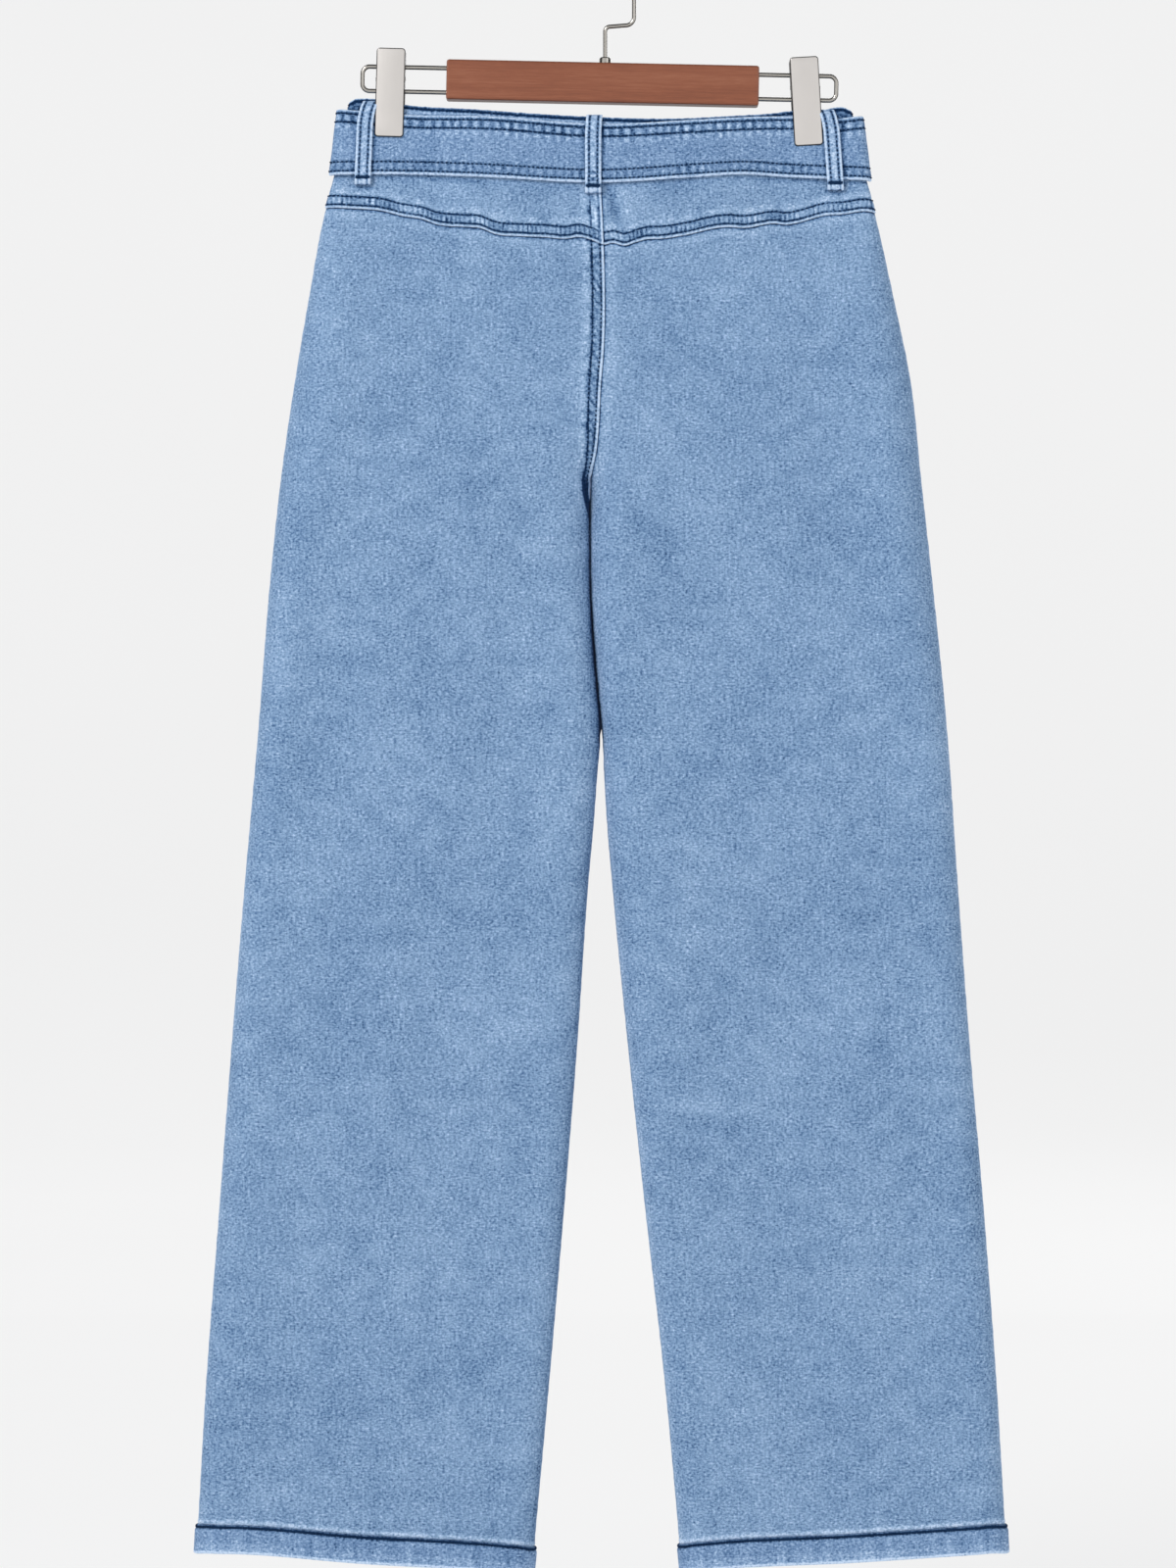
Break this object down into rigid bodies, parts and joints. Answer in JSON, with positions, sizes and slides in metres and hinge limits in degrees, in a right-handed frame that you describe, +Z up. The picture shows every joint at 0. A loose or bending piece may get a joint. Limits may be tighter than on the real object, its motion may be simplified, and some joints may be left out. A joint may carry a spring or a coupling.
{
  "type": "wide leg jeans on a clip hanger",
  "caption": "Light blue denim wide leg jeans with a cloth belt, hung flat by the waist from a wooden hanger bar with two metal clips.",
  "frame": {"origin": "top of the inside of the hanger's hook, where a rail or a peg holds it", "axes": "+Z up; the back of the jeans faces -Y and the front +Y; +X to the right of someone looking at the back"},
  "size_m": [0.5808, 0.0408, 1.1654],
  "materials": {
    "denim": "washed stretch denim, matt, with a fine pale and blue speckle",
    "belt_denim": "the same denim, folded and stitched",
    "hanger_wood": "red-brown stain under satin lacquer",
    "clip_nickel": "satin nickel plate",
    "hanger_steel": "plated wire"
  },
  "bodies": {
    "root": {"back_leg_left": "denim", "back_leg_right": "denim", "front_leg_left": "denim", "front_leg_right": "denim", "back_yoke_left": "denim", "back_yoke_right": "denim", "fly_flap": "denim", "waistband_back": "denim", "waistband_front_left": "denim", "waistband_front_right": "denim", "hem_left": "denim", "hem_right": "denim", "belt": "belt_denim", "loop_back_left": "belt_denim", "loop_back_centre": "belt_denim", "loop_back_right": "belt_denim", "loop_front_left": "belt_denim", "loop_front_right": "belt_denim", "hanger_bar": "hanger_wood", "hook": "hanger_steel", "ferrule": "hanger_steel", "rail_left": "hanger_steel", "rail_right": "hanger_steel", "clip_left_back_plate": "clip_nickel", "clip_left_front_plate": "clip_nickel", "clip_right_back_plate": "clip_nickel", "clip_right_front_plate": "clip_nickel", "clip_left_spring": "hanger_steel", "clip_right_spring": "hanger_steel"}
  },
  "joints": []
}
